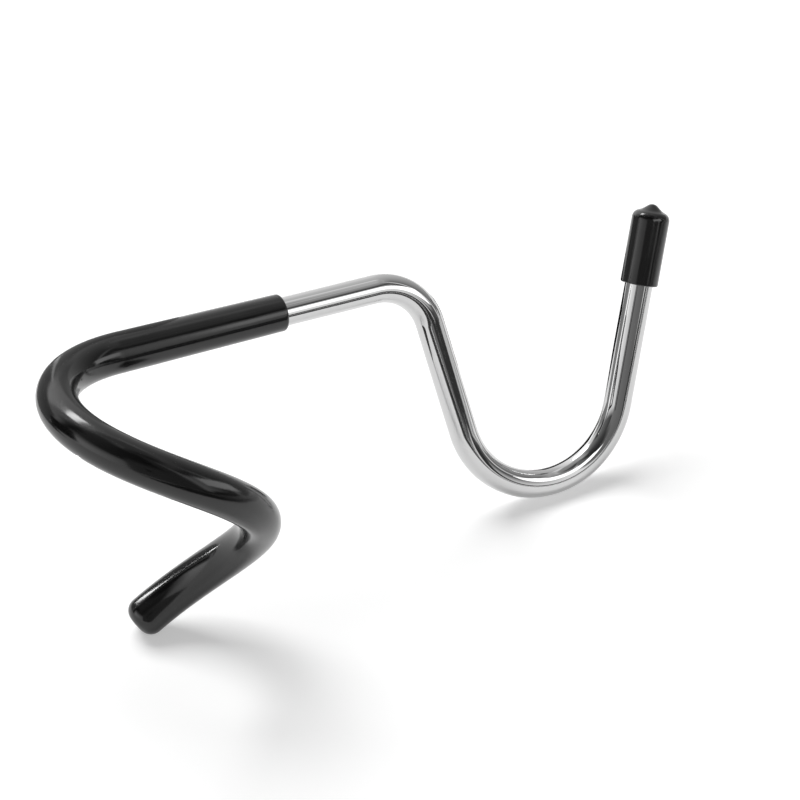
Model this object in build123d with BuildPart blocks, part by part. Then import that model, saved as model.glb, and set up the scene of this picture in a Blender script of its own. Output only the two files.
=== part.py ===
"""Lantern hook for a pole: a bent round rod, a soft grip sleeve over its spiral and a soft cap on its tip.

Millimetres, +Z up along the pole, which stands on the origin. The arm runs along +X and rises from z = 0.
"""

import os
from math import cos, radians, sin, tan

from build123d import *

# Rod
rod_dia = 6.0
rod_chamfer = 0.5

# Spiral that grips the pole
pole_dia = 28.0
pole_play = 1.4
wrap_turn = 346.0
arm_slope = 7.0
tail_slope = 38.8
tail_length = 3.2

# Arm and hook, in one upright plane
arm_length = 57.0
top_bend_radius = 12.0
top_bend_turn = 79.5
drop_length = 25.4
seat_radius = 19.0
seat_turn = 151.0
riser_length = 25.9

# Grip sleeve: closed at the tail, open on the arm, where it narrows
slip = 0.05
sleeve_wall = 1.15
sleeve_mouth_wall = 0.8
sleeve_on_arm = 36.3
sleeve_mouth_round = 0.7
sleeve_end_wall = 1.8
sleeve_end_round = 2.8

# Tip cap: open end on the riser, low cone with a round nub at the other
cap_wall = 0.95
cap_length = 17.1
cap_end_wall = 3.3
cap_nub_slope = 38.0
cap_nub_radius = 2.2
cap_nub_round = 3.0
cap_cone_slope = 22.0
cap_top_round = 1.6
cap_shoulder_round = 1.7
cap_mouth_round = 0.25

# Sizes that follow from those above
rod_radius = rod_dia / 2
bore_radius = rod_radius + slip
sleeve_radius = bore_radius + sleeve_wall
mouth_radius = bore_radius + sleeve_mouth_wall
cap_radius = bore_radius + cap_wall
wrap_radius = pole_dia / 2 + pole_play + sleeve_radius
wrap_angle = radians(wrap_turn)
first_fall = wrap_radius * tan(radians(arm_slope))
last_fall = wrap_radius * tan(radians(tail_slope))
wrap_steps = max(4, round(wrap_turn / 36))


def wrap_point(angle):
    """Point on the spiral's centre line: a circle about the pole, falling faster at a steady rate."""
    fall = first_fall * angle + (last_fall - first_fall) * angle**2 / (2 * wrap_angle)
    return Vector(-wrap_radius * sin(angle), wrap_radius * cos(angle), -fall)


def wrap_heading(angle):
    """Direction of the spiral's centre line at that angle, from the arm towards the tail."""
    fall = first_fall + (last_fall - first_fall) * angle / wrap_angle
    return Vector(-wrap_radius * cos(angle), -wrap_radius * sin(angle), -fall).normalized()


def half_section(origin, heading):
    """Plane for the half section of a turned piece: local x points out from its axis, local y along it."""
    across = Plane(origin=origin, z_dir=heading).x_dir
    return Plane(origin=origin, x_dir=across, z_dir=across.cross(heading))


# Centre line of the spiral: arcs that run smoothly into one another, from the arm down to the tail
wrap_start = wrap_point(0)
with BuildLine() as wrap_line:
    bend = TangentArc(wrap_start, wrap_point(wrap_angle / wrap_steps), tangent=wrap_heading(0))
    for step in range(2, wrap_steps + 1):
        bend = TangentArc(bend @ 1, wrap_point(wrap_angle * step / wrap_steps), tangent=bend % 1)

# Where the straight stretches begin and end
wrap_end = bend @ 1
arm_heading = wrap_heading(0) * -1
tail_heading = bend % 1
sleeve_end = wrap_end + tail_heading * tail_length
rod_end = sleeve_end - tail_heading * sleeve_end_wall
sleeve_mouth = wrap_start + arm_heading * sleeve_on_arm

# Centre line of the arm and the hook
hook_plane = Plane(origin=wrap_start, x_dir=(1, 0, 0), z_dir=(0, -1, 0))
with BuildLine(hook_plane) as hook_line:
    arm = PolarLine((0, 0), arm_length, arm_slope)
    top_bend = JernArc(arm @ 1, arm % 1, top_bend_radius, -top_bend_turn)
    drop = Line(top_bend @ 1, top_bend @ 1 + (top_bend % 1) * drop_length)
    seat = JernArc(drop @ 1, drop % 1, seat_radius, seat_turn)
    cap_mouth = seat @ 1 + (seat % 1) * riser_length
    cap_heading = seat % 1
    riser = Line(seat @ 1, cap_mouth + cap_heading * (cap_length - cap_end_wall - slip))

with BuildPart() as hook_rod:
    with BuildLine() as rod_line:
        Line(rod_end, wrap_end)
        add(wrap_line.line)
        add(hook_line.line)
    with BuildSketch(Plane(origin=rod_end, z_dir=tail_heading * -1)):
        Circle(rod_radius)
    sweep(path=rod_line.line)
    tail_face = hook_rod.faces().sort_by_distance(rod_end)[0]
    tip_face = hook_rod.faces().sort_by_distance(riser @ 1)[0]
    chamfer(tail_face.edges() + tip_face.edges(), rod_chamfer)
hook_rod.part.label = "hook_rod"

with BuildPart() as grip_sleeve:
    # Stretch round the pole
    with BuildSketch(Plane(origin=wrap_end, z_dir=tail_heading * -1)):
        Circle(sleeve_radius)
        Circle(bore_radius, mode=Mode.SUBTRACT)
    sweep(path=wrap_line.line)
    # Stretch on the arm, narrowing to its open end
    with BuildSketch(half_section(wrap_start, arm_heading)):
        with BuildLine():
            Polyline(
                (bore_radius, 0),
                (sleeve_radius, 0),
                (mouth_radius, sleeve_on_arm),
                (bore_radius, sleeve_on_arm),
                close=True,
            )
        mouth_section = make_face()
        fillet(mouth_section.vertices().sort_by_distance(sleeve_mouth)[1], sleeve_mouth_round)
    revolve(axis=Axis(wrap_start, arm_heading))
    # Stretch on the tail, with its closed end
    with BuildSketch(half_section(wrap_end, tail_heading)):
        with BuildLine():
            Polyline(
                (bore_radius, 0),
                (sleeve_radius, 0),
                (sleeve_radius, tail_length),
                (0, tail_length),
                (0, tail_length - sleeve_end_wall),
                (bore_radius, tail_length - sleeve_end_wall),
                close=True,
            )
        make_face()
    revolve(axis=Axis(wrap_end, tail_heading))
    fillet(grip_sleeve.faces().sort_by_distance(sleeve_end)[0].edges(), sleeve_end_round)
grip_sleeve.part.label = "grip_sleeve"

cap_axis = Axis(cap_mouth, cap_heading)
cap_depth = cap_length - cap_end_wall
with BuildPart() as tip_cap:
    with BuildSketch(half_section(cap_mouth, cap_heading)):
        with BuildLine():
            cap_top = JernArc((0, cap_length), (1, 0), cap_top_round, -cap_nub_slope)
            nub_run = cap_nub_radius - cap_top_round * sin(radians(cap_nub_slope))
            nub_drop = cap_top_round * (1 - cos(radians(cap_nub_slope))) + nub_run * tan(radians(cap_nub_slope))
            cone_drop = nub_drop + (cap_radius - cap_nub_radius) * tan(radians(cap_cone_slope))
            Polyline(
                cap_top @ 1,
                (cap_nub_radius, cap_length - nub_drop),
                (cap_radius, cap_length - cone_drop),
                (cap_radius, 0),
                (bore_radius, 0),
                (bore_radius, cap_depth),
                (0, cap_depth),
                (0, cap_length),
            )
        make_face()
    revolve(axis=cap_axis)
    cap_rims = tip_cap.edges().filter_by(GeomType.CIRCLE)
    widest = cap_rims.filter_by(lambda rim: abs(rim.radius - cap_radius) < slip)
    fillet(widest.sort_by(cap_axis)[-1], cap_shoulder_round)
    rims = tip_cap.edges().filter_by(GeomType.CIRCLE)
    fillet(rims.filter_by(lambda rim: abs(rim.radius - cap_radius) < slip).sort_by(cap_axis)[0], cap_mouth_round)
    rims = tip_cap.edges().filter_by(GeomType.CIRCLE)
    fillet(rims.filter_by(lambda rim: abs(rim.radius - cap_nub_radius) < slip)[0], cap_nub_round)
tip_cap.part.label = "tip_cap"

os.makedirs("parts", exist_ok=True)
export_step(hook_rod.part, "parts/hook_rod.step")
export_step(grip_sleeve.part, "parts/grip_sleeve.step")
export_step(tip_cap.part, "parts/tip_cap.step")
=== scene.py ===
"""Lantern hook for a pole: a chrome plated bent rod, a black grip sleeve over its spiral and a black cap on its tip.

Laid out as a Blender add-on and run as a script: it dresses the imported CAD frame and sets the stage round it.
"""

import bpy
import numpy as np
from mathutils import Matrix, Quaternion, Vector


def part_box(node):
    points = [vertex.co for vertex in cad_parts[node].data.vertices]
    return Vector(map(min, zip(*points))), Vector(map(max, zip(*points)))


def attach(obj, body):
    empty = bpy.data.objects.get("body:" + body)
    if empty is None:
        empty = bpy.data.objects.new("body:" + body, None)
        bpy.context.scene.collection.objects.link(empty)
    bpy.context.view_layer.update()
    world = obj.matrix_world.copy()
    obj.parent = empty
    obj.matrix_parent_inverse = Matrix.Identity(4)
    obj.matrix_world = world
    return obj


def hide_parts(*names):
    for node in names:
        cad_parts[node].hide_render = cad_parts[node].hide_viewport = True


bl_info = {
    "name": "Lantern Hook",
    "version": (1, 0, 0),
    "blender": (4, 5, 0),
    "location": "View3D > Sidebar > Lantern Hook",
    "description": "Builds a chrome lantern hook with its black grip sleeve and tip cap over the packed CAD frame",
    "category": "Add Mesh",
}

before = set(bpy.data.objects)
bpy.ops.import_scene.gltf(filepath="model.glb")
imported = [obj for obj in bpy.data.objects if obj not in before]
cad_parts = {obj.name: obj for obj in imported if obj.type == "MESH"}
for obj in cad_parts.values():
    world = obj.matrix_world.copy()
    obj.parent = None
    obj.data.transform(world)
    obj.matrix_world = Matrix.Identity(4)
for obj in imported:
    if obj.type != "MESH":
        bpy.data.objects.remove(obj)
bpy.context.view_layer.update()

# Radii that the CAD boxes give: the hook stands in the upright plane through the middle of the cap
CAP_LOW, CAP_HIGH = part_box("tip_cap")
CAP_RADIUS = round((CAP_HIGH.y - CAP_LOW.y) / 2, 4)
WRAP_RADIUS = round((CAP_HIGH.y + CAP_LOW.y) / 2, 4)
ROD_RADIUS = round(-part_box("hook_rod")[0].y - WRAP_RADIUS, 4)
SLEEVE_RADIUS = round(-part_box("grip_sleeve")[0].y - WRAP_RADIUS, 4)

# Roundings where the CAD has sharp edges, in metres
ROD_EDGE = 0.00008
SLEEVE_LIP = 0.00012
CAP_LIP = 0.0001
BORE_BOTTOM = 0.0002
SLEEVE_TAPER_START = 0.004

# Longest steps along the profiles, and the length of one unit of the UV map, in metres
FINE_STEP = 0.0004
SLEEVE_STEP = 0.0005
UV_UNIT = 0.01

VINYL_NAME = "dip moulded black soft PVC"
CARD_NAME = "studio card"


def linear(hex_colour):
    """Linear RGBA of an sRGB hex colour."""
    srgb = np.array([int(hex_colour[i : i + 2], 16) for i in (1, 3, 5)]) / 255
    return (*np.where(srgb <= 0.04045, srgb / 12.92, ((srgb + 0.055) / 1.055) ** 2.4), 1.0)


def length(name, description, millimetres):
    """A length property with its default in millimetres."""
    return bpy.props.FloatProperty(
        name=name,
        description=description,
        default=millimetres / 1000,
        min=0,
        precision=5,
        subtype="DISTANCE",
        unit="LENGTH",
    )


def angle(name, description, degrees):
    """An angle property with its default in degrees."""
    return bpy.props.FloatProperty(
        name=name, description=description, default=np.radians(degrees), subtype="ANGLE", unit="ROTATION"
    )


def colour(name, description, hex_colour):
    """A colour property with its default as an sRGB hex value."""
    return bpy.props.FloatVectorProperty(
        name=name, description=description, default=linear(hex_colour), size=4, min=0, max=1, subtype="COLOR"
    )


def amount(name, description, value, unit="NONE"):
    """A plain number property that can't fall below 0."""
    return bpy.props.FloatProperty(name=name, description=description, default=value, min=0, unit=unit)


class LanternHookSizes(bpy.types.PropertyGroup):
    """Sizes of the rod, the sleeve and the cap."""

    rod_radius: length("Rod radius", "Radius of the bent rod", ROD_RADIUS * 1000)
    rod_chamfer: length("Rod chamfer", "Chamfer on both ends of the rod", 0.5)
    wrap_radius: length("Wrap radius", "Radius of the spiral's centre line about the pole", WRAP_RADIUS * 1000)
    wrap_turn: angle("Wrap turn", "How far the spiral goes round the pole", 346.0)
    arm_slope: angle("Arm slope", "Rise of the arm and of the spiral's upper end", 7.0)
    tail_slope: angle("Tail slope", "Fall of the spiral's lower end", 38.8)
    tail_length: length("Tail length", "Straight stretch from the spiral to the sleeve's closed end", 3.2)
    arm_length: length("Arm length", "Straight stretch from the spiral to the top bend", 57.0)
    top_bend_radius: length("Top bend radius", "Radius of the bend over the arm's end", 12.0)
    top_bend_turn: angle("Top bend turn", "How far the top bend turns down", 79.5)
    drop_length: length("Drop length", "Straight stretch down to the seat", 25.4)
    seat_radius: length("Seat radius", "Radius of the round seat that the lantern hangs in", 19.0)
    seat_turn: angle("Seat turn", "How far the seat turns up again", 151.0)
    riser_length: length("Riser length", "Straight stretch from the seat to the cap's open end", 25.9)

    slip: length("Slip", "Clearance between the rod and what is pushed over it", 0.05)
    sleeve_radius: length("Sleeve radius", "Outer radius of the grip sleeve", SLEEVE_RADIUS * 1000)
    sleeve_mouth_radius: length("Sleeve mouth radius", "Outer radius at the sleeve's open end, where it narrows", 3.85)
    sleeve_on_arm: length("Sleeve on arm", "How far the sleeve reaches along the arm", 36.3)
    sleeve_mouth_round: length("Sleeve mouth rounding", "Rounding of the sleeve's open edge", 0.7)
    sleeve_end_wall: length("Sleeve end wall", "Thickness of the sleeve's closed end", 1.8)
    sleeve_end_round: length("Sleeve end rounding", "Rounding of the sleeve's closed end", 2.8)

    cap_radius: length("Cap radius", "Outer radius of the tip cap", CAP_RADIUS * 1000)
    cap_length: length("Cap length", "Length of the tip cap", 17.1)
    cap_end_wall: length("Cap end wall", "Thickness of the cap over the rod's end", 3.3)
    cap_cone_slope: angle("Cap cone slope", "Slope of the low cone on the cap", 22.0)
    cap_shoulder_round: length("Cap shoulder rounding", "Rounding between the cap's wall and its cone", 1.7)
    cap_nub_slope: angle("Cap nub slope", "Slope of the nub on the cone", 38.0)
    cap_nub_radius: length("Cap nub radius", "Radius at which the nub runs into the cone", 2.2)
    cap_nub_round: length("Cap nub rounding", "Hollow rounding between the nub and the cone", 3.0)
    cap_top_round: length("Cap top rounding", "Rounding of the nub's top", 1.6)
    cap_mouth_round: length("Cap mouth rounding", "Rounding of the cap's open edge", 0.25)


class LanternHookFinishes(bpy.types.PropertyGroup):
    """Colours of the rod, the sleeve and the cap."""

    chrome_colour: colour("Chrome", "Colour of the chrome plate", "#c7c7c7")
    vinyl_colour: colour("Vinyl", "Colour of the black soft vinyl", "#0f0f0f")


class LanternHookStage(bpy.types.PropertyGroup):
    """Floor, light and camera."""

    floor_colour: colour("Floor", "Colour of the floor", "#ededed")
    floor_depth: length("Floor depth", "How far under the origin the floor lies, along its normal", 62.17)
    floor_glow: amount("Floor glow", "White that the floor adds where it is looked at", 0.42)
    key_power: amount("Key lamp", "Power of the key lamp", 155, unit="POWER")
    ambient: amount("Ambient", "Strength of the even light from all round", 0.15)
    view_distance: length("View distance", "From the camera to the point that it looks at", 849.66)
    view_azimuth: angle("View azimuth", "Direction of the camera round the pole", -26.165)
    view_elevation: angle("View elevation", "Height of the camera over the arm's level", 13.636)
    view_roll: angle("View roll", "Turn of the camera about its own line of sight", -0.603)


# ---------------------------------------------------------------- shapes


def unit(rows):
    """Rows of vectors, each scaled to length 1."""
    return rows / np.linalg.norm(rows, axis=1, keepdims=True)


def stretches(sizes):
    """Lengths of the arm, the top bend, the drop, the seat and the riser along the centre line."""
    return [
        sizes.arm_length,
        sizes.top_bend_radius * sizes.top_bend_turn,
        sizes.drop_length,
        sizes.seat_radius * sizes.seat_turn,
        sizes.riser_length,
    ]


def centre_line(sizes, steps=4000):
    """The rod's centre line from the sleeve's closed end to the cap's top: lengths, points, headings and sides.

    The tail is straight. The spiral is a circle of the wrap radius about the pole, and at the angle a from the arm its
    fall is first * a + (last - first) * a^2 / (2 * turn). On the hook, the heading is held along each straight stretch
    and turns evenly along each bend, and the points are the running sum of the headings. The side points away from the
    pole on the spiral and along +Y on the hook, so it never twists.
    """
    radius, turn = sizes.wrap_radius, sizes.wrap_turn
    first, last = radius * np.tan(sizes.arm_slope), radius * np.tan(sizes.tail_slope)
    a = np.linspace(turn, 0, steps)
    fall = first * a + (last - first) * a**2 / (2 * turn)
    wrap = np.column_stack([-radius * np.sin(a), radius * np.cos(a), -fall])
    rise = first + (last - first) * a / turn
    wrap_heading = unit(np.column_stack([radius * np.cos(a), radius * np.sin(a), rise]))
    wrap_side = np.column_stack([-np.sin(a), np.cos(a), 0 * a])

    *others, riser = stretches(sizes)
    runs = np.cumsum([0, *others, riser + sizes.cap_length])
    turns = np.cumsum([sizes.arm_slope, 0, -sizes.top_bend_turn, 0, sizes.seat_turn, 0])
    along = np.union1d(np.linspace(0, runs[-1], steps), runs)
    slope = np.interp(along, runs, turns)
    middle = np.interp((along[1:] + along[:-1]) / 2, runs, turns)
    step = np.diff(along)[:, None] * np.column_stack([np.cos(middle), 0 * middle, np.sin(middle)])
    hook = wrap[-1] + np.concatenate([np.zeros((1, 3)), np.cumsum(step, axis=0)])
    hook_heading = np.column_stack([np.cos(slope), 0 * slope, np.sin(slope)])
    hook_side = np.tile([0.0, 1.0, 0.0], (len(along), 1))

    points = np.concatenate([wrap[:1] - wrap_heading[:1] * sizes.tail_length, wrap, hook[1:]])
    lengths = np.concatenate([[0], np.cumsum(np.linalg.norm(np.diff(points, axis=0), axis=1))])
    headings = np.concatenate([wrap_heading[:1], wrap_heading, hook_heading[1:]])
    sides = np.concatenate([wrap_side[:1], wrap_side, hook_side[1:]])
    return lengths, points, headings, sides


def landmarks(sizes):
    """Lengths along the centre line at which the arm starts, the cap's mouth sits and the line ends."""
    end = centre_line(sizes)[0][-1]
    cap_mouth = end - sizes.cap_length
    return cap_mouth - sum(stretches(sizes)), cap_mouth, end


def rounded(corners, step, arc_steps=10):
    """Profile of lengths and radii through the corners (length, radius, rounding).

    Each corner is cut by a circle arc that touches both of its sides, and no step along the profile is longer than the
    one given.
    """
    corners = np.array(corners, float)
    places, rounding = corners[:, :2], corners[1:-1, 2]
    before, after = unit(places[:-2] - places[1:-1]), unit(places[2:] - places[1:-1])
    half = np.arccos(np.clip((before * after).sum(1), -1, 1)) / 2
    middle = unit(before + after)
    centre = places[1:-1] + middle * (rounding / np.sin(half))[:, None]
    # Each arc swings from the side before to the side after, about the line from its centre to the corner
    across = unit(after - before)
    swing = np.linspace(-1, 1, arc_steps)[None, :, None] * (np.pi / 2 - half)[:, None, None]
    spokes = np.sin(swing) * across[:, None] - np.cos(swing) * middle[:, None]
    arcs = centre[:, None] + rounding[:, None, None] * spokes
    profile = np.concatenate([places[:1], arcs.reshape(-1, 2), places[-1:]])
    far = np.concatenate([[0], np.cumsum(np.linalg.norm(np.diff(profile, axis=0), axis=1))])
    at = np.unique(np.round(np.concatenate([far, np.arange(0, far[-1], step)]), 7))
    return np.column_stack([np.interp(at, far, profile[:, k]) for k in (0, 1)])


def carried(name, profile, line, around=72):
    """Mesh of a round profile carried along the centre line.

    At the length s and radius r of the profile, and at the angle f, the point is
    line(s) + r * (side * cos f + across * sin f), where across is square to the heading and the side. The profile
    starts and ends on the line, and there its rings close to one point. The UV map holds the way along the profile in
    units of 10 mm and the turn round it.
    """
    s, r = profile.T
    lengths, *tracks = line
    centre, heading, side = (
        np.column_stack([np.interp(s, lengths, column) for column in rows.T]) for rows in tracks
    )
    heading = unit(heading)
    side = unit(side - heading * (side * heading).sum(1, keepdims=True))
    across = np.cross(heading, side)
    f = np.arange(around) * 2 * np.pi / around
    spokes = np.cos(f)[:, None] * side[:, None] + np.sin(f)[:, None] * across[:, None]
    rings = centre[:, None] + r[:, None, None] * spokes
    vertices = np.concatenate([centre[:1], rings[1:-1].reshape(-1, 3), centre[-1:]])

    # Faces: four-sided between the rings, three-sided round both poles
    row, column = np.meshgrid(np.arange(len(s) - 3), np.arange(around), indexing="ij")
    row, column = row.ravel(), column.ravel()
    here, above, following = row * around, (row + 1) * around, (column + 1) % around
    quads = 1 + np.column_stack([here + column, here + following, above + following, above + column])
    turn, top = np.arange(around), 1 + (len(s) - 3) * around
    first = np.column_stack([0 * turn, 1 + (turn + 1) % around, 1 + turn])
    last = np.column_stack([0 * turn + len(vertices) - 1, top + turn, top + (turn + 1) % around])
    mesh = bpy.data.meshes.new(name)
    mesh.from_pydata(vertices, [], quads.tolist() + first.tolist() + last.tolist())

    # UV map, corner by corner in the order of the faces
    way = np.concatenate([[0], np.cumsum(np.hypot(np.diff(s), np.diff(r)))]) / UV_UNIT
    u = np.concatenate(
        [
            np.column_stack([way[row + 1], way[row + 1], way[row + 2], way[row + 2]]).ravel(),
            np.tile([way[0], way[1], way[1]], around),
            np.tile([way[-1], way[-2], way[-2]], around),
        ]
    )
    v = np.concatenate(
        [
            np.column_stack([column, column + 1, column + 1, column]).ravel(),
            np.column_stack([turn + 0.5, turn + 1, turn]).ravel(),
            np.column_stack([turn + 0.5, turn, turn + 1]).ravel(),
        ]
    )
    layer = mesh.uv_layers.new(name="Along")
    layer.uv.foreach_set("vector", np.column_stack([u, v / around]).astype(np.float32).ravel())
    mesh.polygons.foreach_set("use_smooth", np.ones(len(mesh.polygons), bool))
    mesh.update()
    if mesh.validate():
        raise RuntimeError(f"the mesh of {name} isn't whole")
    return mesh


def put(name, mesh, material, node=None):
    """Object for a mesh at the origin: a piece that rides on the frame for a CAD node, or part of the stage."""
    piece = bpy.data.objects.new(name, mesh)
    mesh.materials.append(material)
    bpy.context.scene.collection.objects.link(piece)
    if node:
        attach(piece, "root")
        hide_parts(node)
    return piece


# ---------------------------------------------------------------- materials


def node(tree, kind, settings=None, **links):
    """Adds a node, sets its attributes, links or sets its inputs and returns it.

    An input goes by its name, with _ for a space, or by its number after a _.
    """
    made = tree.nodes.new(kind)
    for name, value in (settings or {}).items():
        setattr(made, name, value)
    for name, value in links.items():
        socket = made.inputs[int(name[1:])] if name[1:].isdigit() else made.inputs[name.replace("_", " ")]
        if isinstance(value, bpy.types.NodeSocket):
            tree.links.new(value, socket)
        else:
            socket.default_value = value
    return made


def blank(name):
    """New material with an empty node tree, and that tree."""
    material = bpy.data.materials.new(name)
    material.use_nodes = True
    material.node_tree.nodes.clear()
    return material, material.node_tree


def chrome_plate(finishes):
    """Bright chrome plate on drawn, polished steel wire."""
    # Mirror gloss in a neutral grey. Drawing leaves faint lines along the wire, and polishing a haze in soft patches,
    # so reflections stay crisp across the rod and shimmer a little along it.
    material, tree = blank("chrome plate on polished drawn steel wire")
    along = node(tree, "ShaderNodeUVMap", {"uv_map": "Along"}).outputs["UV"]
    place = node(tree, "ShaderNodeTexCoord").outputs["Object"]
    # Drawing lines: about 0.25 mm wide, 60 to 100 mm long, coarser than the real ones so that they show
    lines_at = node(tree, "ShaderNodeMapping", Vector=along, Scale=(0.14, 72, 1)).outputs["Vector"]
    lines = node(tree, "ShaderNodeTexNoise", {"noise_dimensions": "2D"}, Vector=lines_at, Scale=1, Detail=2)
    # Polishing haze: patches about 7 mm across
    haze = node(tree, "ShaderNodeTexNoise", Vector=place, Scale=140, Detail=3, Roughness=0.6).outputs["Fac"]
    rough = node(tree, "ShaderNodeMapRange", Value=haze, From_Min=0.3, From_Max=0.7, To_Min=0.03, To_Max=0.075)
    bump = node(tree, "ShaderNodeBump", Height=lines.outputs["Fac"], Strength=0.02, Distance=0.00004)
    shader = node(
        tree,
        "ShaderNodeBsdfPrincipled",
        Base_Color=finishes.chrome_colour,
        Metallic=1,
        Roughness=rough.outputs["Result"],
        Normal=bump.outputs["Normal"],
    )
    node(tree, "ShaderNodeOutputMaterial", Surface=shader.outputs["BSDF"])
    return material


def dipped_vinyl(finishes):
    """Black plastisol, a soft PVC, dip moulded and glossy."""
    # A wet looking black skin: crisp white highlights over a dark grey sheen at the rims, broken by a fine orange peel
    # and by the slow waves in which the dipped coat set.
    material, tree = blank(VINYL_NAME)
    place = node(tree, "ShaderNodeTexCoord").outputs["Object"]
    # Orange peel: dimples about 0.9 mm across
    peel = node(tree, "ShaderNodeTexNoise", Vector=place, Scale=1100, Detail=1.5, Roughness=0.4).outputs["Fac"]
    # Waves of the coat: about 9 mm long
    waves = node(tree, "ShaderNodeTexNoise", Vector=place, Scale=110, Detail=1).outputs["Fac"]
    rough = node(tree, "ShaderNodeMapRange", Value=waves, From_Min=0.3, From_Max=0.7, To_Min=0.11, To_Max=0.19)
    shade = node(tree, "ShaderNodeMapRange", Value=waves, From_Min=0.25, From_Max=0.75, To_Min=0.85, To_Max=1.15)
    multiply = {"data_type": "RGBA", "blend_type": "MULTIPLY"}
    tint = node(tree, "ShaderNodeMix", multiply, _0=1.0, _6=finishes.vinyl_colour, _7=shade.outputs["Result"])
    swell = node(tree, "ShaderNodeBump", Height=waves, Strength=0.12, Distance=0.0006).outputs["Normal"]
    bump = node(tree, "ShaderNodeBump", Height=peel, Strength=0.06, Distance=0.00008, Normal=swell)
    shader = node(
        tree,
        "ShaderNodeBsdfPrincipled",
        Base_Color=tint.outputs[2],
        Roughness=rough.outputs["Result"],
        IOR=1.53,
        Normal=bump.outputs["Normal"],
    )
    node(tree, "ShaderNodeOutputMaterial", Surface=shader.outputs["BSDF"])
    return material


def seen(tree):
    """1 where a ray comes from the camera or from a mirror or glass, 0 where it only brings light."""
    ray = node(tree, "ShaderNodeLightPath").outputs
    larger = {"operation": "MAXIMUM"}
    mirror = node(tree, "ShaderNodeMath", larger, _0=ray["Is Glossy Ray"], _1=ray["Is Transmission Ray"]).outputs[0]
    return node(tree, "ShaderNodeMath", larger, _0=ray["Is Camera Ray"], _1=mirror).outputs[0]


def floor_paper(stage):
    """White matt seamless paper."""
    # Even white that keeps the shadow; from underneath the camera sees through it.
    material, tree = blank("white seamless paper")
    times = {"operation": "MULTIPLY"}
    ray = node(tree, "ShaderNodeLightPath").outputs["Is Camera Ray"]
    back = node(tree, "ShaderNodeNewGeometry").outputs["Backfacing"]
    hidden = node(tree, "ShaderNodeMath", times, _0=ray, _1=back).outputs[0]
    paper = node(tree, "ShaderNodeBsdfDiffuse", Color=stage.floor_colour).outputs["BSDF"]
    level = node(tree, "ShaderNodeMath", times, _0=seen(tree), _1=stage.floor_glow).outputs[0]
    glow = node(tree, "ShaderNodeEmission", Strength=level).outputs["Emission"]
    sheet = node(tree, "ShaderNodeAddShader", _0=paper, _1=glow).outputs["Shader"]
    clear = node(tree, "ShaderNodeBsdfTransparent").outputs["BSDF"]
    mix = node(tree, "ShaderNodeMixShader", _0=hidden, _1=sheet, _2=clear).outputs["Shader"]
    node(tree, "ShaderNodeOutputMaterial", Surface=mix)
    return material


def card_glow():
    """Card that shows in a mirror at the level written on its mesh, where 1 is white."""
    material, tree = blank(CARD_NAME)
    level = node(tree, "ShaderNodeAttribute", {"attribute_name": "level"}).outputs["Fac"]
    glow = node(tree, "ShaderNodeEmission", Strength=level).outputs["Emission"]
    node(tree, "ShaderNodeOutputMaterial", Surface=glow)
    material.cycles.emission_sampling = "NONE"
    return material


# ---------------------------------------------------------------- stage

# The floor's normal, its way to the right and its way away from the camera: the hook rests on the sleeve's closed end
# and on the seat. The camera looks at AIM.
UP = Vector((-0.16952, -0.36401, 0.91584)).normalized()
RIGHT = Vector((0.89638, -0.44317, -0.01022))
RIGHT = (RIGHT - UP * RIGHT.dot(UP)).normalized()
AWAY = UP.cross(RIGHT).normalized()
AIM = Vector((0.053161, 0.000643, -0.011875))

FLOOR_REACH = 1.2  # from the middle of the floor to its edges
BOARD_LIFT = 0.0005  # height of the boards over the floor
KEY_AZIMUTH, KEY_ELEVATION = -37, 55
KEY_DISTANCE, KEY_WIDTH = 4.0, 2.7
LENS, SENSOR_WIDTH = 189.75, 36  # millimetres
CLIP = 0.05, 50  # nearest and farthest that the camera sees, in metres

# What the studio shows to a mirror beyond the white floor: azimuths, elevations, softness of the edges, level at the
# first and at the last azimuth. Later stretches cover earlier ones.
DOME_REACH = 2.5
STUDIO = (
    ((-155, 205), (64, 100), 2.5, 0.7, 0.12),  # ceiling
    ((-50, 8), (-12, 66), 9, 1.9, 0.8),  # white wall behind, round the key light
    ((2, 81), (-20, 55), 1, 0.82, 0.2),  # wall behind, falling into shade to the right
    ((87, 125), (-20, 84), 1, 0.16, 0.06),  # dark frame of the softbox
    ((36, 129), (52, 64), 9, 0.63, 0.34),  # ceiling over it
    ((99, 133), (6.5, 41), 2, 0.2, 1.3),  # softbox
    ((133, 218), (-20, 85), 4, 0.18, 0.27),  # dark room in front
    ((155, 232), (42, 78), 13, 0.02, 0.1),  # black overhead in front
    ((-155, -98), (-20, 18.5), 8, 1.0, 2.0),  # white wall on the left
    ((-173, -71), (28, 80), 10.5, 0.02, 0.28),  # dark room over it
    ((-95, -80), (-20, 50), 9, 0.01, 0.01),  # black flag between that wall and the wall behind
)

# Cards that face the hook: name, azimuth, elevation, distance, width, height, level, turn in degrees
PANELS = (
    ("key_card", -39, 50, 0.9, 0.38, 0.18, 14, -2),  # the key light
    ("softbox_card", 105, 29, 0.15, 0.146, 0.057, 2.4, -20),  # the near end of the softbox
)

# Cards that lie on the floor: name, azimuth, distances from the pole, distances across that way, level
BOARDS = (
    ("front_table", 135, (0.167, 1.1), (-0.3, 0.42), 0.06),  # dark table in front of the paper
    ("back_table", -45, (0.14, 1.1), (-0.18, 0.12), 0.12),  # dark table behind it
    ("right_table", 90, (0.225, 1.1), (-0.3, 0.6), 0.78),  # pale table to its right
)

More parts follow.
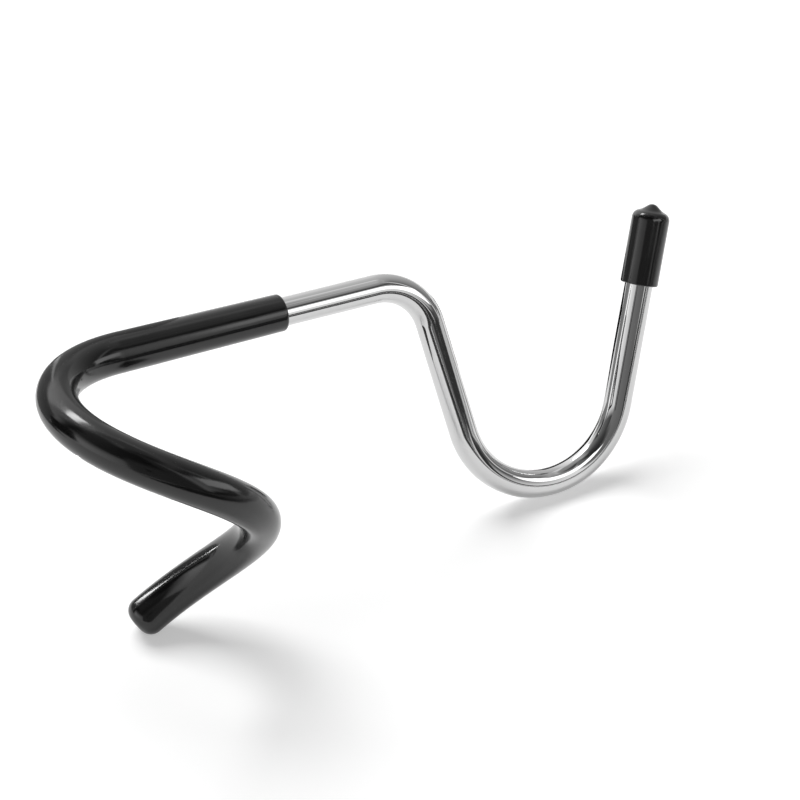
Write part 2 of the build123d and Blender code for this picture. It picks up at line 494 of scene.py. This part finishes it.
# Curved cards: name, azimuths, elevations, reach, level, centre
RISER = (0.116, 0.0196, -0.01)
BEND = (-0.02, 0, -0.012)
PATCHES = (
    ("front_edge_card", (132, 195), (-9, -6), 0.45, 0.03, AIM),  # black line along the seat
    ("front_left_post", (185, 190), (19, 26), 0.45, 0.02, AIM),  # black line on the riser
    ("front_right_edge", (100, 148), (-2, 3), 0.42, 0.05, AIM),  # dark band on the drop
    ("riser_card", (-63, -17), (-35, -3), 0.045, 0.01, RISER),  # black left edge of the riser
    ("bend_card", (-72, -16), (-24, 18), 0.16, 0.29, BEND),  # dark inner side of the spiral's left bend
    ("inner_bend_card", (-11, 18.5), (-28, 22), 0.06, 0.39, BEND),  # dark side of the arm next to it
)

# Small flat cards beside the hook: name, level, corners in millimetres
SMALL_CARDS = (
    # White streak near the tail's end
    ("tail_strip", 20, (((-8.3, 40.5, -36), (-8.3, 37.1, -33)), ((-13.1, 30.5, -31.2), (-13.1, 27.1, -28.3)))),
    # Dark top of the sleeve where one looks along the arm
    ("arm_flag", 0.03, (((-70, -2, -14), (-70, 44, -14)), ((-70, -2, 11), (-70, 44, 11)))),
    # End of the white streak
    ("tail_flag", 0.25, (((-12, 26, -28), (3, 26, -28)), ((-12, 26, -35.6), (3, 26, -35.6)))),
)


def bearing(azimuth, elevation):
    """Direction on the stage: azimuth in degrees from straight away to the right, elevation over the floor.

    Takes numbers or arrays.
    """
    a, e = (np.radians(np.asarray(degrees, float))[..., None] for degrees in (azimuth, elevation))
    return np.cos(e) * (np.cos(a) * np.array(AWAY) + np.sin(a) * np.array(RIGHT)) + np.sin(e) * np.array(UP)


def card(name, points, level):
    """Card that only mirrors see, over a grid of points, with one level or one for each point."""
    rows, columns = points.shape[:2]
    row, column = (x.ravel() for x in np.meshgrid(np.arange(rows - 1), np.arange(columns - 1), indexing="ij"))
    corner = row * columns + column
    faces = np.column_stack([corner, corner + columns, corner + columns + 1, corner + 1])
    mesh = bpy.data.meshes.new(name)
    mesh.from_pydata(points.reshape(-1, 3), [], faces.tolist())
    levels = np.broadcast_to(level, (rows, columns)).astype(np.float32)
    mesh.attributes.new("level", "FLOAT", "POINT").data.foreach_set("value", levels.ravel())
    made = put(name, mesh, bpy.data.materials.get(CARD_NAME) or card_glow())
    made.visible_camera = made.visible_diffuse = made.visible_shadow = made.visible_transmission = False


def studio_dome():
    """Dome that only mirrors see, with a point at each whole degree.

    Its level is white, and each stretch of the studio in turn covers it: inside a stretch's azimuths and elevations
    the level slides to the stretch's own, which runs evenly along its azimuths, with a straight ramp over each soft
    edge.
    """
    a, e = np.meshgrid(np.arange(-155, 205.5), np.arange(-14, 90.5), indexing="ij")
    level = np.ones_like(a)
    for azimuths, elevations, soft, first, last in STUDIO:
        sides = np.minimum(a - azimuths[0], azimuths[1] - a)
        inside = np.minimum(sides, np.minimum(e - elevations[0], elevations[1] - e))
        own = np.interp(a, azimuths, (first, last))
        level += (own - level) * np.clip(inside / soft + 0.5, 0, 1)
    card("studio_dome", np.array(AIM) + DOME_REACH * bearing(a, e), level)


def panel(name, azimuth, elevation, distance, width, height, level, turn):
    """Flat card that faces the hook from that bearing, with its width level unless it is turned."""
    toward, turn = bearing(azimuth, elevation), np.radians(turn)
    level_way = np.cross(np.array(UP), toward)
    level_way /= np.linalg.norm(level_way)
    steep_way = np.cross(toward, level_way)
    across = np.cos(turn) * level_way + np.sin(turn) * steep_way
    upright = np.cos(turn) * steep_way - np.sin(turn) * level_way
    x, y = np.meshgrid([-width / 2, width / 2], [-height / 2, height / 2], indexing="ij")
    card(name, np.array(AIM) + distance * toward + x[..., None] * across + y[..., None] * upright, level)


def board(name, azimuth, reach, width, level, depth):
    """Card that lies on a floor of that depth, between two distances from the pole and two distances across."""
    along, across = np.meshgrid(reach, width, indexing="ij")
    flat = along[..., None] * bearing(azimuth, 0) + across[..., None] * bearing(azimuth + 90, 0)
    card(name, flat - (depth - BOARD_LIFT) * np.array(UP), level)


def patch(name, azimuths, elevations, reach, level, centre, steps=24):
    """Curved card: the part of a sphere of that reach about the centre between two azimuths and two elevations."""
    a, e = np.meshgrid(np.linspace(*azimuths, steps), np.linspace(*elevations, steps), indexing="ij")
    card(name, np.array(centre) + reach * bearing(a, e), level)


def lamp(name, direction, distance, width, power):
    """Square area lamp that faces the hook, for light and shadow alone."""
    light = bpy.data.lights.new(name, "AREA")
    light.shape, light.size, light.energy = "SQUARE", width, power
    made = bpy.data.objects.new(name, light)
    made.location = AIM + direction * distance
    made.rotation_mode = "QUATERNION"
    made.rotation_quaternion = direction.to_track_quat("Z", "Y")
    made.visible_camera = made.visible_glossy = False
    bpy.context.scene.collection.objects.link(made)


# ---------------------------------------------------------------- operators


class LANTERNHOOK_OT_rod(bpy.types.Operator):
    """Builds the chrome rod: a round of the rod radius carried along the whole centre line, chamfered at both ends"""

    bl_idname = "lantern_hook.rod"
    bl_label = "Hook Rod"

    def execute(self, context):
        sizes = context.scene.lantern_hook_sizes
        line = centre_line(sizes)
        end = line[0][-1] - sizes.cap_end_wall - sizes.slip
        radius, cut, start = sizes.rod_radius, sizes.rod_chamfer, sizes.sleeve_end_wall
        profile = rounded(
            [
                (start, 0, 0),
                (start, radius - cut, ROD_EDGE),
                (start + cut, radius, ROD_EDGE),
                (end - cut, radius, ROD_EDGE),
                (end, radius - cut, ROD_EDGE),
                (end, 0, 0),
            ],
            step=FINE_STEP,
        )
        mesh = carried("hook_rod_chrome", profile, line)
        put("hook_rod_chrome", mesh, chrome_plate(context.scene.lantern_hook_finishes), "hook_rod")
        return {"FINISHED"}


class LANTERNHOOK_OT_sleeve(bpy.types.Operator):
    """Builds the grip sleeve: its rounded closed end, its wall along tail, spiral and arm, its mouth and its bore"""

    bl_idname = "lantern_hook.sleeve"
    bl_label = "Grip Sleeve"

    def execute(self, context):
        sizes = context.scene.lantern_hook_sizes
        arm, _, _ = landmarks(sizes)
        mouth, bore, depth = arm + sizes.sleeve_on_arm, sizes.rod_radius + sizes.slip, sizes.sleeve_end_wall
        profile = rounded(
            [
                (0, 0, 0),
                (0, sizes.sleeve_radius, sizes.sleeve_end_round),
                (arm, sizes.sleeve_radius, SLEEVE_TAPER_START),
                (mouth, sizes.sleeve_mouth_radius, sizes.sleeve_mouth_round),
                (mouth, bore, SLEEVE_LIP),
                (depth, bore, BORE_BOTTOM),
                (depth, 0, 0),
            ],
            step=SLEEVE_STEP,
        )
        mesh = carried("grip_sleeve_vinyl", profile, centre_line(sizes))
        material = bpy.data.materials.get(VINYL_NAME) or dipped_vinyl(context.scene.lantern_hook_finishes)
        put("grip_sleeve_vinyl", mesh, material, "grip_sleeve")
        return {"FINISHED"}


class LANTERNHOOK_OT_cap(bpy.types.Operator):
    """Builds the tip cap: its bore, its mouth, its wall, its rounded shoulder and its low cone with a round nub"""

    bl_idname = "lantern_hook.cap"
    bl_label = "Tip Cap"

    def execute(self, context):
        sizes = context.scene.lantern_hook_sizes
        _, mouth, top = landmarks(sizes)
        bore, depth, radius = sizes.rod_radius + sizes.slip, top - sizes.cap_end_wall, sizes.cap_radius
        slope, tip = sizes.cap_nub_slope, sizes.cap_top_round
        # The flat whose edge the round top cuts away, and how far the nub and then the cone fall from it
        flat = tip * np.tan(slope / 2)
        nub_drop = (sizes.cap_nub_radius - flat) * np.tan(slope)
        cone_drop = nub_drop + (radius - sizes.cap_nub_radius) * np.tan(sizes.cap_cone_slope)
        profile = rounded(
            [
                (depth, 0, 0),
                (depth, bore, BORE_BOTTOM),
                (mouth, bore, CAP_LIP),
                (mouth, radius, sizes.cap_mouth_round),
                (top - cone_drop, radius, sizes.cap_shoulder_round),
                (top - nub_drop, sizes.cap_nub_radius, sizes.cap_nub_round),
                (top, flat, tip),
                (top, 0, 0),
            ],
            step=FINE_STEP,
            arc_steps=14,
        )
        mesh = carried("tip_cap_vinyl", profile, centre_line(sizes))
        material = bpy.data.materials.get(VINYL_NAME) or dipped_vinyl(context.scene.lantern_hook_finishes)
        put("tip_cap_vinyl", mesh, material, "tip_cap")
        return {"FINISHED"}


class LANTERNHOOK_OT_stage(bpy.types.Operator):
    """Sets the floor, the lamp, the cards that the chrome and the vinyl mirror, and the camera"""

    bl_idname = "lantern_hook.stage"
    bl_label = "Stage"

    def execute(self, context):
        scene, stage = context.scene, context.scene.lantern_hook_stage
        scene.view_settings.view_transform = "Standard"

        world = bpy.data.worlds.new("studio")
        scene.world = world
        world.use_nodes = True
        tree = world.node_tree
        tree.nodes.clear()
        strength = node(tree, "ShaderNodeMapRange", Value=seen(tree), To_Min=stage.ambient, To_Max=1.0)
        sky = node(tree, "ShaderNodeBackground", Color=(1, 1, 1, 1), Strength=strength.outputs["Result"])
        node(tree, "ShaderNodeOutputWorld", Surface=sky.outputs["Background"])

        corner = np.array([[-1, -1], [1, -1], [1, 1], [-1, 1]]) * FLOOR_REACH
        points = -stage.floor_depth * np.array(UP) + corner[:, :1] * np.array(RIGHT) + corner[:, 1:] * np.array(AWAY)
        mesh = bpy.data.meshes.new("floor")
        mesh.from_pydata(points, [], [(0, 1, 2, 3)])
        put("floor", mesh, floor_paper(stage))

        # The lamp gives light and shadow, and the dome and the cards give the chrome and the vinyl what they mirror
        lamp("key_lamp", Vector(bearing(KEY_AZIMUTH, KEY_ELEVATION)), KEY_DISTANCE, KEY_WIDTH, stage.key_power)
        studio_dome()
        for settings in PANELS:
            panel(*settings)
        for settings in BOARDS:
            board(*settings, stage.floor_depth)
        for settings in PATCHES:
            patch(*settings)
        for name, level, corners in SMALL_CARDS:
            card(name, np.array(corners, float) / 1000, level)

        data = bpy.data.cameras.new("camera")
        data.lens, data.sensor_width = LENS, SENSOR_WIDTH
        data.clip_start, data.clip_end = CLIP
        camera = bpy.data.objects.new("camera", data)
        a, e = stage.view_azimuth, stage.view_elevation
        back = Vector((np.sin(a) * np.cos(e), -np.cos(a) * np.cos(e), np.sin(e)))
        camera.location = AIM + back * stage.view_distance
        camera.rotation_mode = "QUATERNION"
        camera.rotation_quaternion = (-back).to_track_quat("-Z", "Y") @ Quaternion((0, 0, 1), stage.view_roll)
        scene.collection.objects.link(camera)
        scene.camera = camera
        return {"FINISHED"}


GROUPS = {
    "lantern_hook_sizes": LanternHookSizes,
    "lantern_hook_finishes": LanternHookFinishes,
    "lantern_hook_stage": LanternHookStage,
}
OPERATORS = (LANTERNHOOK_OT_rod, LANTERNHOOK_OT_sleeve, LANTERNHOOK_OT_cap, LANTERNHOOK_OT_stage)


class LANTERNHOOK_PT_panel(bpy.types.Panel):
    """Lists the pieces of the lantern hook and its settings"""

    bl_label = "Lantern Hook"
    bl_idname = "LANTERNHOOK_PT_panel"
    bl_space_type = "VIEW_3D"
    bl_region_type = "UI"
    bl_category = "Lantern Hook"

    def draw(self, context):
        for operator in OPERATORS:
            self.layout.operator(operator.bl_idname)
        for name, kind in GROUPS.items():
            box = self.layout.box()
            for setting in kind.__annotations__:
                box.prop(getattr(context.scene, name), setting)


def register():
    """Registers the setting groups, the operators and the panel."""
    for name, group in GROUPS.items():
        bpy.utils.register_class(group)
        setattr(bpy.types.Scene, name, bpy.props.PointerProperty(type=group))
    for operator in OPERATORS:
        bpy.utils.register_class(operator)
    bpy.utils.register_class(LANTERNHOOK_PT_panel)


def unregister():
    """Takes them away again, in the opposite order."""
    bpy.utils.unregister_class(LANTERNHOOK_PT_panel)
    for operator in reversed(OPERATORS):
        bpy.utils.unregister_class(operator)
    for name, group in reversed(GROUPS.items()):
        delattr(bpy.types.Scene, name)
        bpy.utils.unregister_class(group)


def main():
    """Registers the classes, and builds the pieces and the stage."""
    register()
    bpy.ops.lantern_hook.rod()
    bpy.ops.lantern_hook.sleeve()
    bpy.ops.lantern_hook.cap()
    bpy.ops.lantern_hook.stage()


if __name__ == "__main__":
    main()
